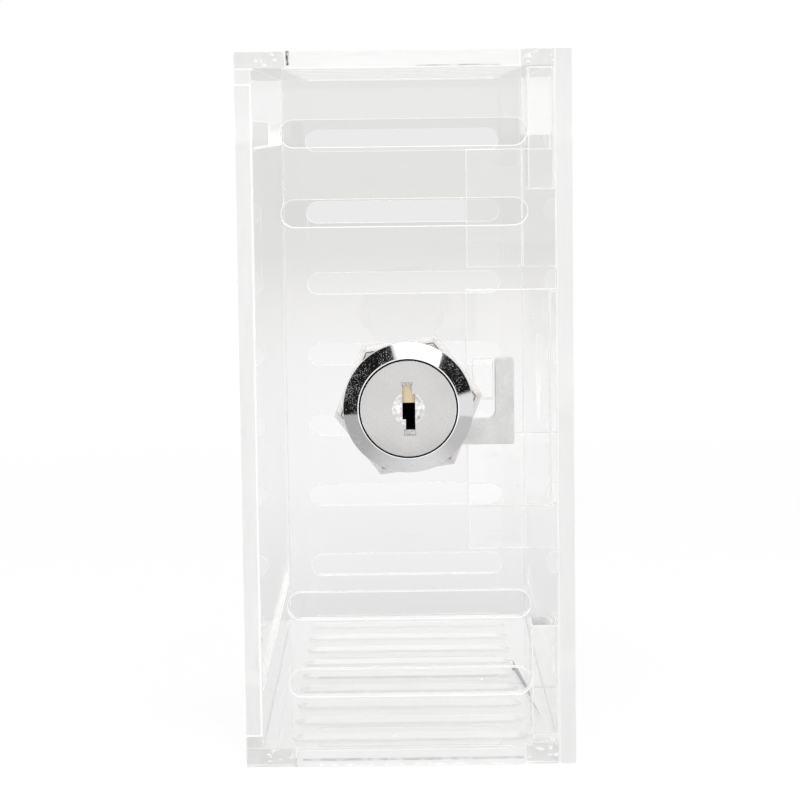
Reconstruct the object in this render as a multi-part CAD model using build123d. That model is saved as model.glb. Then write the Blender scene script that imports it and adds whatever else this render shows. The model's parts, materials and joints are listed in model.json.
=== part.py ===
"""Thermostat lock box: a clear acrylic cover with a cam lock, hooked onto a back plate on the wall.

Row frame, millimetres: +X to the right as one faces the box, which is the side with the lock,
+Y into the wall and +Z up. The origin is the centre of the back plate's wall face.
"""
from build123d import *
import os
from math import cos, radians, sin

# ---- box ----
BOX_WIDTH = 130.0  # outside, across the wall
BOX_HEIGHT = 121.5  # outside, up the wall
BOX_DEPTH = 56.5  # outside, from the wall to the front face
SHEET = 2.8  # cast acrylic, sold as 3 mm, for every panel
GLUE_LINE = 0.05  # between two glued faces
SEAT_GAP = 0.10  # between the cover's rear edge and the back plate

# ---- finger joints of the cover ----
CORNER_FINGER_TALL = 5.5  # side panels' fingers at the front edge, from the top and the bottom
CORNER_FINGER_DEEP = 8.7  # side panels' fingers at the top and bottom, from the front and the wall
CORNER_FINGER_WIDE = 8.7  # top and bottom panels' fingers at the front edge, from the sides

# ---- vent slots ----
SLOT_HEIGHT = 4.6
SLOT_MARGIN = 7.6  # from the slot's round end to the box's outside
SLOT_PITCH = 13.32  # rows on the lock panel and on the top and bottom panels
LOCK_SIDE_ROWS = (-3.5, -2.5, 2.5, 3.5)  # in pitches from the middle, where the lock leaves room
LOCK_SIDE_RISE = 0.32  # the rows' middle above the box's middle
FAR_SIDE_PITCH = 15.26
FAR_SIDE_ROWS = 7
FAR_SIDE_RISE = -0.65
FLAT_ROWS = 9  # on the top and bottom panels
FRONT_ROW_HEIGHT = 46.8  # the front panel's two slots above and below the box's middle

# ---- back plate ----
WIRE_HOLE_RADIUS = 8.0  # for the thermostat's wires, in the middle
SCREW_SPACING_WIDE = 88.0
SCREW_SPACING_TALL = 92.0
SCREW_HOLE_RADIUS = 2.25
COVER_CLEARANCE = 0.3  # between the back plate's blocks and the cover that slides over them
CLEAT_STAND_OFF = 4.5  # corner cleats beside the lock panel
CLEAT_WIDE = 8.4
CLEAT_TALL = 20.5
TONGUE_STAND_OFF = 11.9  # tongues inside the far side panel
TONGUE_TALL = 25.2
TONGUE_FROM_END = 17.75  # tongue's outer end from the top or bottom of the box
STRIKE_PLATE_STAND_OFF = 14.8
STRIKE_PLATE_TALL = 38.7

# ---- cam lock, along its own axis: u toward the wall, v up, w out of the lock panel ----
LOCK_FROM_FRONT = 28.5  # lock axis from the box's front face
LOCK_RISE = 0.9  # lock axis above the box's middle
BEZEL_RADIUS = 11.0
BEZEL_RIM = 1.2
BEZEL_HEIGHT = 3.0
BEZEL_LIP_RADIUS = 8.5
BARREL_RADIUS = 9.5
BARREL_FLAT = 8.0  # from the axis to each of the barrel's two flats
BARREL_LENGTH = 17.0
PANEL_HOLE_CLEARANCE = 0.1
THREAD_PITCH = 1.0
THREAD_DEPTH = 0.5
THREAD_START = 3.5
THREAD_COUNT = 13
NUT_ACROSS_FLATS = 22.0
NUT_THICKNESS = 3.2
NUT_TURN = 7.6  # degrees, from the wall direction up to the nut's first corner
NUT_BORE_CLEARANCE = 0.06
PLUG_HEAD_RADIUS = 8.1
PLUG_HEAD_THICKNESS = 2.0
PLUG_PROUD = 0.2  # plug face beyond the bezel's lip
PLUG_HEAD_GAP = 0.2
PLUG_RADIUS = 5.95
RUNNING_CLEARANCE = 0.05
DISH_RADIUS = 2.75  # shallow dish round the keyway
DISH_DEPTH = 0.6

# keyway, as a stack of three openings: (u from, u to, v from, v to)
KEYWAY_UPPER = (-1.0, 0.57, 2.4, 3.98)
KEYWAY_MIDDLE = (-1.0, 1.15, -1.81, 2.47)
KEYWAY_LOWER = (-0.44, 1.15, -3.53, -1.75)
KEYWAY_DEPTH = 12.6  # behind the lock panel's outer face
BROACH_MARK_WIDE = 1.5
BROACH_MARK_TALL = 0.55
BROACH_MARK_DEPTH = 0.25

# wafers
WAFER_COUNT = 5
WAFER_PITCH = 2.6
WAFER_FIRST = 0.5  # first wafer's middle behind the lock panel's outer face
WAFER_THICKNESS = 1.0
WAFER_WIDE = 4.4
WAFER_TALL = 11.0
WAFER_LUG_WIDE = 1.1
WAFER_LUG_TALL = 1.3
WAFER_CLEARANCE = 0.05
WAFER_WINDOW_TOPS = (0.72, 1.3, 0.4, 1.6, 0.9)  # one cut height for each wafer
WAFER_WINDOW_BOTTOM = -4.2
WAFER_WINDOW_LEFT = -1.2
WAFER_WINDOW_RIGHT = 1.35
WAFER_CHANNEL_RADIUS = 7.1
SPRING_COIL_RADIUS = 0.38
SPRING_WIRE_RADIUS = 0.1
SPRING_LENGTH = 3.9
SPRING_TURNS = 5

# tail of the plug and what is clamped on it
TANG_SIZE = 7.0
TANG_CLEARANCE = 0.05
TAIL_GAP = 0.05  # between faces that bear on each other in the stack
STOP_WASHER_RADIUS = 6.5
STOP_WASHER_THICKNESS = 1.3
STOP_TAB_RADIUS = 9.0
STOP_TAB_ANGLE = 45.0  # where the tab stands with the box locked
STOP_TAB_HALF_ANGLE = 12.0
STOP_SLACK_ANGLE = 1.5
STOP_LUG_INNER_RADIUS = 6.9
STOP_LUG_OUTER_RADIUS = 9.3
STOP_LUG_HEIGHT = 1.4
KEY_TURN = 90.0  # degrees, clockwise as seen from outside
CAM_GAP = 0.15
CAM_THICKNESS = 2.0
CAM_HUB_RADIUS = 8.6
CAM_HOOK_INNER = 15.3  # from the lock axis to the hook's near edge
CAM_HOOK_WIDE = 3.3
CAM_HOOK_TOP = 6.5
CAM_ARM_TALL = 4.5
CAM_INNER_FILLET = 1.4
CAM_OUTER_FILLET = 0.5
CAM_WASHER_RADIUS = 6.3
CAM_WASHER_THICKNESS = 0.8
CAM_SCREW_RADIUS = 2.0
CAM_SCREW_LENGTH = 5.4
CAM_SCREW_HEAD_RADIUS = 3.9
CAM_SCREW_HEAD_HEIGHT = 2.2
CAM_SCREW_RECESS_LONG = 4.2
CAM_SCREW_RECESS_WIDE = 0.9
CAM_SCREW_RECESS_DEEP = 1.4
CAM_SCREW_HOLE_EXTRA = 0.5
STRIKE_GAP = 0.2  # between the hook and the strike block it catches on
STRIKE_BLOCK_WIDE = 3.8
STRIKE_BLOCK_TALL = 7.0
STRIKE_BLOCK_DEEP = 4.0
STRIKE_BLOCK_BELOW_TIP = 0.15  # strike block's top below the hook's tip
STRIKE_PLATE_GAP = 1.05  # between the cam's rear face and the strike plate

# ---- worked out from the sizes above ----
HALF_WIDTH = BOX_WIDTH / 2
HALF_HEIGHT = BOX_HEIGHT / 2
FRONT_FACE = -BOX_DEPTH
PLATE_FACE = -SHEET
COVER_REAR = PLATE_FACE - SEAT_GAP
MID_DEPTH = FRONT_FACE / 2
INNER_HALF_WIDTH = HALF_WIDTH - SHEET
INNER_HALF_HEIGHT = HALF_HEIGHT - SHEET
SIDE_TAB_HALF = BOX_DEPTH / 2 - CORNER_FINGER_DEEP
LOCK_Y = FRONT_FACE + LOCK_FROM_FRONT
LOCK_PLACE = Plane(origin=(HALF_WIDTH, LOCK_Y, LOCK_RISE), x_dir=(0, 1, 0), z_dir=(1, 0, 0)).location
BORE_RADIUS = PLUG_RADIUS + RUNNING_CLEARANCE
PLUG_FACE = BEZEL_HEIGHT + PLUG_PROUD
RECESS_FLOOR = PLUG_FACE - PLUG_HEAD_THICKNESS - RUNNING_CLEARANCE
STOP_WASHER_FRONT = -BARREL_LENGTH - TAIL_GAP
CAM_FRONT = -BARREL_LENGTH - STOP_LUG_HEIGHT - CAM_GAP
CAM_REAR = CAM_FRONT - CAM_THICKNESS
TANG_END = CAM_REAR + CAM_GAP
CAM_WASHER_FRONT = CAM_REAR - TAIL_GAP
SCREW_SEAT = CAM_WASHER_FRONT - CAM_WASHER_THICKNESS - TAIL_GAP
STRIKE_PLATE_FRONT = CAM_REAR - STRIKE_PLATE_GAP
WAFER_SLOT = WAFER_THICKNESS + 2 * WAFER_CLEARANCE
SPRING_U = WAFER_WIDE / 2 + WAFER_LUG_WIDE / 2
SPRING_POCKET_FLOOR = -SPRING_LENGTH - 2 * WAFER_CLEARANCE


def block(x_span, y_span, z_span):
    """A box between two positions on each axis."""
    size = [max(s) - min(s) for s in (x_span, y_span, z_span)]
    middle = [(max(s) + min(s)) / 2 for s in (x_span, y_span, z_span)]
    return Pos(*middle) * Box(*size)


def rounded_slot(plane, x, y, length, turn=0.0):
    """A vent slot's cutter, long enough to pass through any panel of the box."""
    outline = plane * Pos(x, y) * Rot(0, 0, turn) * SlotOverall(length, SLOT_HEIGHT)
    return extrude(outline, amount=BOX_WIDTH, both=True)


def tube(outer, inner, low, high):
    """A ring about the lock axis between two heights."""
    middle = Pos(0, 0, (low + high) / 2)
    return middle * Cylinder(outer, high - low) - middle * Cylinder(inner, high - low + 1)


def disc(radius, low, high):
    """A solid round about the lock axis between two heights."""
    return Pos(0, 0, (low + high) / 2) * Cylinder(radius, high - low)


def turned(*points):
    """A solid of revolution about the lock axis from (radius, height) points."""
    return revolve(Plane.XZ * make_face(Polyline(*points, close=True)), Axis.Z)


# ---- cover ----
def front_panel():
    """The front sheet: a tab into each neighbour and one long slot near the top and the bottom."""
    depth = (FRONT_FACE, FRONT_FACE + SHEET)
    inner_w = INNER_HALF_WIDTH - GLUE_LINE
    inner_h = INNER_HALF_HEIGHT - GLUE_LINE
    tab_h = HALF_HEIGHT - CORNER_FINGER_TALL - GLUE_LINE / 2
    tab_w = HALF_WIDTH - CORNER_FINGER_WIDE - GLUE_LINE / 2
    panel = block((-inner_w, inner_w), depth, (-inner_h, inner_h))
    panel += block((-HALF_WIDTH, HALF_WIDTH), depth, (-tab_h, tab_h))
    panel += block((-tab_w, tab_w), depth, (-HALF_HEIGHT, HALF_HEIGHT))
    for height in (-FRONT_ROW_HEIGHT, FRONT_ROW_HEIGHT):
        slot = SlotOverall(BOX_WIDTH - 2 * SLOT_MARGIN, SLOT_HEIGHT)
        panel -= extrude(Plane.XZ * Pos(0, height) * slot, amount=BOX_DEPTH + SHEET)
    return panel


def flat_panel(side):
    """The top sheet (side 1) or the bottom sheet (side -1), with slots that run front to back."""
    height = (side * INNER_HALF_HEIGHT, side * HALF_HEIGHT)
    inner_w = INNER_HALF_WIDTH - GLUE_LINE
    tab = SIDE_TAB_HALF - GLUE_LINE / 2
    notch_w = HALF_WIDTH - CORNER_FINGER_WIDE + GLUE_LINE / 2
    panel = block((-inner_w, inner_w), (FRONT_FACE, COVER_REAR), height)
    panel += block((-HALF_WIDTH, HALF_WIDTH), (MID_DEPTH - tab, MID_DEPTH + tab), height)
    panel -= block((-notch_w, notch_w), (FRONT_FACE - 1, FRONT_FACE + SHEET + GLUE_LINE), height)
    for row in range(FLAT_ROWS):
        x = (row - (FLAT_ROWS - 1) / 2) * SLOT_PITCH
        panel -= rounded_slot(Plane.XY, x, MID_DEPTH, BOX_DEPTH - 2 * SLOT_MARGIN, 90)
    return panel


def side_blank(side):
    """A side sheet, notched for the front, top and bottom panels' tabs."""
    thickness = (side * INNER_HALF_WIDTH, side * HALF_WIDTH)
    panel = block(thickness, (FRONT_FACE, COVER_REAR), (-HALF_HEIGHT, HALF_HEIGHT))
    notch_h = HALF_HEIGHT - CORNER_FINGER_TALL + GLUE_LINE / 2
    notch_d = SIDE_TAB_HALF + GLUE_LINE / 2
    floor_h = INNER_HALF_HEIGHT - GLUE_LINE
    front = (FRONT_FACE - 1, FRONT_FACE + SHEET + GLUE_LINE)
    panel -= block(thickness, front, (-notch_h, notch_h))
    for up in (-1, 1):
        tabs = (MID_DEPTH - notch_d, MID_DEPTH + notch_d)
        panel -= block(thickness, tabs, (up * floor_h, up * (HALF_HEIGHT + 1)))
    return panel


def side_slots(heights):
    """Cutters for a side panel's rows of slots."""
    length = BOX_DEPTH - 2 * SLOT_MARGIN
    return [rounded_slot(Plane.YZ, MID_DEPTH, height, length) for height in heights]


def left_panel():
    """The far side sheet, with slots from top to bottom."""
    middle = (FAR_SIDE_ROWS - 1) / 2
    heights = [FAR_SIDE_RISE + (row - middle) * FAR_SIDE_PITCH for row in range(FAR_SIDE_ROWS)]
    return side_blank(-1) - side_slots(heights)


def lock_panel():
    """The side sheet with the lock, its double-D hole and two slots above and below it."""
    heights = [LOCK_SIDE_RISE + row * SLOT_PITCH for row in LOCK_SIDE_ROWS]
    panel = side_blank(1) - side_slots(heights)
    hole = disc(BARREL_RADIUS + PANEL_HOLE_CLEARANCE, -SHEET - 1, 1)
    flat = BARREL_FLAT + PANEL_HOLE_CLEARANCE
    hole &= block((-flat, flat), (-BARREL_RADIUS * 2, BARREL_RADIUS * 2), (-SHEET - 1, 1))
    return panel - LOCK_PLACE * hole


# ---- back plate and what is glued to it ----
def back_plate():
    """The sheet on the wall, with the wire hole and four screw holes."""
    plate = block((-HALF_WIDTH, HALF_WIDTH), (PLATE_FACE, 0), (-HALF_HEIGHT, HALF_HEIGHT))
    plate -= extrude(Plane.XZ * Circle(WIRE_HOLE_RADIUS), amount=BOX_DEPTH, both=True)
    for hole in GridLocations(SCREW_SPACING_WIDE, SCREW_SPACING_TALL, 2, 2):
        plate -= extrude(Plane.XZ * hole * Circle(SCREW_HOLE_RADIUS), amount=BOX_DEPTH, both=True)
    return plate


def corner_cleat(side):
    """A block in the upper or lower corner that keeps the lock side of the cover in line."""
    outer = INNER_HALF_WIDTH - COVER_CLEARANCE
    end = INNER_HALF_HEIGHT - COVER_CLEARANCE
    rear = PLATE_FACE - GLUE_LINE
    heights = (side * (end - CLEAT_TALL), side * end)
    return block((outer - CLEAT_WIDE, outer), (rear - CLEAT_STAND_OFF, rear), heights)


def side_tongue(side):
    """An upright tongue just inside the far side panel."""
    outer = -INNER_HALF_WIDTH + COVER_CLEARANCE
    rear = PLATE_FACE - GLUE_LINE
    end = HALF_HEIGHT - TONGUE_FROM_END
    heights = (side * (end - TONGUE_TALL), side * end)
    return block((outer, outer + SHEET), (rear - TONGUE_STAND_OFF, rear), heights)


def strike_plate():
    """The sheet that stands off the back plate behind the cam and carries the strike block."""
    front = HALF_WIDTH + STRIKE_PLATE_FRONT
    rear = PLATE_FACE - GLUE_LINE
    tall = STRIKE_PLATE_TALL / 2
    return block((front - SHEET, front), (rear - STRIKE_PLATE_STAND_OFF, rear), (-tall, tall))


def strike_block():
    """The small block that the cam's hook catches behind."""
    edge = CAM_HOOK_INNER - STRIKE_GAP
    top = CAM_HOOK_TOP - STRIKE_BLOCK_BELOW_TIP
    foot = STRIKE_PLATE_FRONT + GLUE_LINE
    wide = (edge - STRIKE_BLOCK_WIDE, edge)
    tall = (top - STRIKE_BLOCK_TALL, top)
    return LOCK_PLACE * block(wide, tall, (foot, foot + STRIKE_BLOCK_DEEP))


# ---- lock housing ----
def threaded_outline():
    """The barrel's profile from its tail up to the bezel, with the thread as rings."""
    points = [(0, -BARREL_LENGTH), (BARREL_RADIUS, -BARREL_LENGTH)]
    for turn in reversed(range(THREAD_COUNT)):
        crest = -THREAD_START - turn * THREAD_PITCH
        points.append((BARREL_RADIUS, crest - THREAD_PITCH / 2))
        points.append((BARREL_RADIUS - THREAD_DEPTH, crest))
        points.append((BARREL_RADIUS, crest + THREAD_PITCH / 2 - GLUE_LINE))
    points += [(BARREL_RADIUS, GLUE_LINE), (0, GLUE_LINE)]
    return points


def sector(radius, start, end, low, high):
    """A slice of a round about the lock axis between two angles in degrees."""
    steps = 12
    angles = [radians(start + (end - start) * i / steps) for i in range(steps + 1)]
    rim = [(2 * radius * cos(a), 2 * radius * sin(a)) for a in angles]
    wedge = extrude(make_face(Polyline((0, 0), *rim, close=True)), amount=high - low)
    return Pos(0, 0, low) * wedge & disc(radius, low, high)


def lock_body():
    """Bezel and threaded barrel in one casting, bored for the plug."""
    barrel = turned(*threaded_outline())
    across = (-BARREL_FLAT, BARREL_FLAT)
    around = (-BEZEL_RADIUS, BEZEL_RADIUS)
    body = barrel & block(across, around, (-BARREL_LENGTH, GLUE_LINE))
    body += turned(
        (0, GLUE_LINE),
        (BEZEL_RADIUS, GLUE_LINE),
        (BEZEL_RADIUS, BEZEL_RIM),
        (BEZEL_LIP_RADIUS, BEZEL_HEIGHT),
        (0, BEZEL_HEIGHT),
    )
    free = STOP_TAB_HALF_ANGLE + STOP_SLACK_ANGLE
    start = STOP_TAB_ANGLE + free
    end = STOP_TAB_ANGLE - KEY_TURN - free + 360
    tail = (-BARREL_LENGTH - STOP_LUG_HEIGHT, -BARREL_LENGTH)
    lug = sector(STOP_LUG_OUTER_RADIUS, start, end, *tail) - disc(STOP_LUG_INNER_RADIUS, *tail)
    body += lug & block(across, around, tail)
    body -= disc(BORE_RADIUS, -BARREL_LENGTH - 2, BEZEL_HEIGHT + 1)
    body -= disc(PLUG_HEAD_RADIUS + PLUG_HEAD_GAP, RECESS_FLOOR, BEZEL_HEIGHT + 1)
    last = WAFER_FIRST + (WAFER_COUNT - 1) * WAFER_PITCH + WAFER_SLOT
    channel = block(
        (-WAFER_WIDE / 2 - WAFER_CLEARANCE, WAFER_WIDE / 2 + WAFER_CLEARANCE),
        (-WAFER_CHANNEL_RADIUS, WAFER_CHANNEL_RADIUS),
        (-last, -WAFER_FIRST + WAFER_SLOT),
    )
    return LOCK_PLACE * (body - channel)


def lock_nut():
    """The hexagon nut behind the panel, with its corners chamfered on both faces."""
    top = -SHEET - GLUE_LINE
    bottom = top - NUT_THICKNESS
    corner = NUT_ACROSS_FLATS / 2 / cos(radians(30))
    across = NUT_ACROSS_FLATS / 2
    slope = (corner - across) * 0.55  # the crown's cone runs from the flats to the corners
    hexagon = Rot(0, 0, NUT_TURN) * RegularPolygon(corner, 6)
    nut = Pos(0, 0, bottom) * extrude(hexagon, amount=NUT_THICKNESS)
    nut &= turned(
        (0, bottom),
        (across, bottom),
        (corner, bottom + slope),
        (corner, top - slope),
        (across, top),
        (0, top),
    )
    nut -= disc(BARREL_RADIUS + NUT_BORE_CLEARANCE, bottom - 1, top + 1)
    return LOCK_PLACE * nut


# ---- plug and what turns with it ----
def wafer_middles():
    """Heights of the wafers' middles along the lock axis."""
    return [-WAFER_FIRST - i * WAFER_PITCH for i in range(WAFER_COUNT)]


def keyway(low, high):
    """The stepped key opening between two heights."""
    upper = block(KEYWAY_UPPER[:2], KEYWAY_UPPER[2:], (low, high))
    middle = block(KEYWAY_MIDDLE[:2], KEYWAY_MIDDLE[2:], (low, high))
    lower = block(KEYWAY_LOWER[:2], KEYWAY_LOWER[2:], (low, high))
    return upper + middle + lower


def lock_plug():
    """The plug: face, keyway, wafer slots and the square tail that turns the cam."""
    head_back = PLUG_FACE - PLUG_HEAD_THICKNESS
    plug = disc(PLUG_RADIUS, -BARREL_LENGTH, head_back)
    plug += disc(PLUG_HEAD_RADIUS, head_back, PLUG_FACE)
    half_tang = (-TANG_SIZE / 2, TANG_SIZE / 2)
    plug += block(half_tang, half_tang, (TANG_END, -BARREL_LENGTH))
    dish = (DISH_RADIUS**2 + DISH_DEPTH**2) / (2 * DISH_DEPTH)
    plug -= Pos(0, 0, PLUG_FACE - DISH_DEPTH + dish) * Sphere(dish)
    plug -= keyway(-KEYWAY_DEPTH, PLUG_FACE + 1)
    for v in (KEYWAY_UPPER[3], KEYWAY_LOWER[2] - BROACH_MARK_TALL):
        mark = (PLUG_FACE - BROACH_MARK_DEPTH, PLUG_FACE + 1)
        plug -= block((-BROACH_MARK_WIDE / 2, BROACH_MARK_WIDE / 2), (v, v + BROACH_MARK_TALL), mark)
    slot_half = WAFER_WIDE / 2 + WAFER_CLEARANCE
    lug_side = WAFER_WIDE / 2 + WAFER_LUG_WIDE + WAFER_CLEARANCE
    for middle in wafer_middles():
        slot = (middle - WAFER_SLOT / 2, middle + WAFER_SLOT / 2)
        plug -= block((-slot_half, slot_half), (-PLUG_RADIUS - 1, PLUG_RADIUS + 1), slot)
        pocket_top = WAFER_LUG_TALL + WAFER_CLEARANCE
        plug -= block((0, lug_side), (SPRING_POCKET_FLOOR, pocket_top), slot)
    hole_end = SCREW_SEAT + CAM_SCREW_LENGTH + CAM_SCREW_HOLE_EXTRA
    plug -= disc(CAM_SCREW_RADIUS, TANG_END - 1, hole_end)
    return LOCK_PLACE * plug


def wafer(index):
    """One flat tumbler at the height where the key lines it up with the plug."""
    middle = wafer_middles()[index]
    span = (middle - WAFER_THICKNESS / 2, middle + WAFER_THICKNESS / 2)
    plate = block((-WAFER_WIDE / 2, WAFER_WIDE / 2), (-WAFER_TALL / 2, WAFER_TALL / 2), span)
    plate += block((0, WAFER_WIDE / 2 + WAFER_LUG_WIDE), (0, WAFER_LUG_TALL), span)
    window = (WAFER_WINDOW_BOTTOM, WAFER_WINDOW_TOPS[index])
    plate -= block((WAFER_WINDOW_LEFT, WAFER_WINDOW_RIGHT), window, span)
    return LOCK_PLACE * plate


def wafer_spring(middle):
    """A coil under a wafer's side lug, in the plug's pocket."""
    height = SPRING_LENGTH - 2 * SPRING_WIRE_RADIUS
    path = Helix(pitch=height / SPRING_TURNS, height=height, radius=SPRING_COIL_RADIUS)
    section = Plane(origin=path @ 0, z_dir=path % 0) * Circle(SPRING_WIRE_RADIUS)
    coil = sweep(section, path=path)
    foot = Pos(SPRING_U, SPRING_POCKET_FLOOR + SPRING_WIRE_RADIUS + WAFER_CLEARANCE, middle)
    return LOCK_PLACE * foot * Rot(-90, 0, 0) * coil


def square_hole(low, high):
    """Clearance hole for the plug's square tail."""
    half = TANG_SIZE / 2 + TANG_CLEARANCE
    return block((-half, half), (-half, half), (low - 1, high + 1))


def stop_washer():
    """The washer whose tab meets the body's lug at each end of the key's turn."""
    span = (STOP_WASHER_FRONT - STOP_WASHER_THICKNESS, STOP_WASHER_FRONT)
    tab_from = STOP_TAB_ANGLE - STOP_TAB_HALF_ANGLE
    tab_to = STOP_TAB_ANGLE + STOP_TAB_HALF_ANGLE
    washer = disc(STOP_WASHER_RADIUS, *span) + sector(STOP_TAB_RADIUS, tab_from, tab_to, *span)
    return LOCK_PLACE * (washer - square_hole(*span))


def cam():
    """The hooked cam: a hub on the tail, an arm toward the wall and a finger up behind the strike."""
    right = CAM_HOOK_INNER + CAM_HOOK_WIDE
    bottom = -CAM_HUB_RADIUS
    arm_top = bottom + CAM_ARM_TALL
    outline = make_face(
        Polyline(
            (0, bottom),
            (right, bottom),
            (right, CAM_HOOK_TOP),
            (CAM_HOOK_INNER, CAM_HOOK_TOP),
            (CAM_HOOK_INNER, arm_top),
            (0, arm_top),
            close=True,
        )
    )
    hollow = outline.vertices().sort_by_distance((CAM_HOOK_INNER, arm_top))[0]
    outline = fillet(hollow, CAM_INNER_FILLET)
    free = outline.vertices().filter_by(lambda corner: corner.X > CAM_HUB_RADIUS)
    ends = free.filter_by(lambda corner: corner.X > right - 0.01 or corner.Y > CAM_HOOK_TOP - 0.01)
    outline = fillet(ends, CAM_OUTER_FILLET)
    outline += Circle(CAM_HUB_RADIUS)
    plate = Pos(0, 0, CAM_REAR) * extrude(outline, amount=CAM_THICKNESS)
    return LOCK_PLACE * (plate - square_hole(CAM_REAR, CAM_FRONT))


def cam_washer():
    """The flat washer under the screw, wide enough to bridge the cam's square hole."""
    rear = CAM_WASHER_FRONT - CAM_WASHER_THICKNESS
    return LOCK_PLACE * tube(CAM_WASHER_RADIUS, CAM_SCREW_RADIUS + TAIL_GAP, rear, CAM_WASHER_FRONT)


def cam_screw():
    """The cross-recessed screw that clamps the cam to the plug."""
    head_end = SCREW_SEAT - CAM_SCREW_HEAD_HEIGHT
    screw = disc(CAM_SCREW_HEAD_RADIUS, head_end, SCREW_SEAT)
    screw = fillet(screw.edges().group_by(Axis.Z)[0], CAM_SCREW_HEAD_HEIGHT / 2)
    screw += disc(CAM_SCREW_RADIUS - RUNNING_CLEARANCE, SCREW_SEAT - 0.5, SCREW_SEAT + CAM_SCREW_LENGTH)
    half_long = CAM_SCREW_RECESS_LONG / 2
    half_wide = CAM_SCREW_RECESS_WIDE / 2
    recess = (head_end - 1, head_end + CAM_SCREW_RECESS_DEEP)
    screw -= block((-half_long, half_long), (-half_wide, half_wide), recess)
    screw -= block((-half_wide, half_wide), (-half_long, half_long), recess)
    return LOCK_PLACE * screw


def nodes():
    """Every sub-part by name."""
    parts = {
        "back_plate": back_plate(),
        "upper_corner_cleat": corner_cleat(1),
        "lower_corner_cleat": corner_cleat(-1),
        "upper_side_tongue": side_tongue(1),
        "lower_side_tongue": side_tongue(-1),
        "strike_plate": strike_plate(),
        "strike_block": strike_block(),
        "front_panel": front_panel(),
        "top_panel": flat_panel(1),
        "bottom_panel": flat_panel(-1),
        "left_panel": left_panel(),
        "lock_panel": lock_panel(),
        "lock_body": lock_body(),
        "lock_nut": lock_nut(),
        "lock_plug": lock_plug(),
        "stop_washer": stop_washer(),
        "cam": cam(),
        "cam_washer": cam_washer(),
        "cam_screw": cam_screw(),
        "wafer_springs": Compound([wafer_spring(middle) for middle in wafer_middles()]),
    }
    for index in range(WAFER_COUNT):
        parts[f"wafer_{index + 1}"] = wafer(index)
    return parts


os.makedirs("parts", exist_ok=True)
for name, shape in nodes().items():
    export_step(shape, f"parts/{name}.step")
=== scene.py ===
"""Dresses the thermostat lock box: clear sheets with broken edges, a turned cam lock and a studio."""

import json
from math import atan2, cos, radians, sin
from random import Random

import bpy
from mathutils import Euler, Matrix, Vector


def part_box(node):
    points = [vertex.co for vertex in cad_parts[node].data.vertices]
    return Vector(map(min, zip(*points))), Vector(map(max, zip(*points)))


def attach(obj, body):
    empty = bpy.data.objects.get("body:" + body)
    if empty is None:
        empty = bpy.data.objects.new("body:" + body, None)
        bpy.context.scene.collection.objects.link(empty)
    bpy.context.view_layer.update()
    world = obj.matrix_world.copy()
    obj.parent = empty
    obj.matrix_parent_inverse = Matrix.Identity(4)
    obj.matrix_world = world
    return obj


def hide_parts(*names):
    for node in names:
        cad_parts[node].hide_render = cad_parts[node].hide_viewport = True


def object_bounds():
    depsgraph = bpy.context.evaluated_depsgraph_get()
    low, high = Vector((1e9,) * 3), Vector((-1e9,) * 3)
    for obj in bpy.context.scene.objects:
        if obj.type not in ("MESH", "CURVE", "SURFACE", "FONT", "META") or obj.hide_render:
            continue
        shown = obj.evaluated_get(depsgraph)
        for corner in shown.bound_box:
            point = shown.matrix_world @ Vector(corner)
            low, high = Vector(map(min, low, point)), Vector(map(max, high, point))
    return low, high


bl_info = {
    "name": "Thermostat Lock Box",
    "version": (1, 0, 0),
    "blender": (4, 5, 0),
    "location": "View3D > Sidebar > Lock Box",
    "description": "Builds the looks of a clear thermostat lock box with a cam lock",
    "category": "Object",
}

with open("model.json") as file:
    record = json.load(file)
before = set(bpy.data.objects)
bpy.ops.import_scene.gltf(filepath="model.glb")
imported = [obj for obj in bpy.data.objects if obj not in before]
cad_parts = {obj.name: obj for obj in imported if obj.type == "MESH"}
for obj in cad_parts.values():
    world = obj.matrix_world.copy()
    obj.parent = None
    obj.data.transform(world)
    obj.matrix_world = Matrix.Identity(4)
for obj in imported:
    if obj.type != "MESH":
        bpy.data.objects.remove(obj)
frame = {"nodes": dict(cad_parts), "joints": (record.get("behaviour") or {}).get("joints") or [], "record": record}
CAD_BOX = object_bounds()

MM = 0.001
BODY_OF = {node: body for body, nodes in frame["record"]["behaviour"]["bodies"].items() for node in nodes}

# The sheets
SHEETS = [s["node"] for s in frame["record"]["subparts"] if s["material_slot"] == "clear_acrylic"]
POLISHED = ("upper_corner_cleat", "lower_corner_cleat", "strike_block")
FINGER_DEPTH = 3.2 * MM  # cut faces further in than this are slots and holes
DUST_COUNTS = {"lock_panel": 34, "left_panel": 24, "front_panel": 30, "top_panel": 14, "bottom_panel": 14}

# The lock, from its axis and out from the lock panel's face
KEY_TURN = next(j for j in frame["joints"] if j["name"] == "key_turn")
AXIS = Vector(KEY_TURN["pos_m"])
BARREL_RADIUS = 9.5 * MM
BARREL_END = -17.0 * MM
BORE_RADIUS = 6.0 * MM
RECESS_RADIUS, RECESS_FLOOR = 8.3 * MM, 1.15 * MM  # what the plug's head sits in
PANEL_GAP = 0.05 * MM  # between the bezel's back and the panel
FLAT_REACH = 8.0 * MM  # from the axis to the barrel's two flats
CUTTER_REACH = 12.0 * MM  # past everything that is filed away
THREAD_START, THREAD_TURNS = -3.0 * MM, 13
PLUG_FRONT = 3.2 * MM
DISH_DEPTH = 0.6 * MM
DISH_STATIONS = (1.0, 0.85, 0.7, 0.55, 0.4, 0.25, 0.1, 0.01)  # shares of the dish's radius
KEYWAY_END = -12.6 * MM
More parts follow.
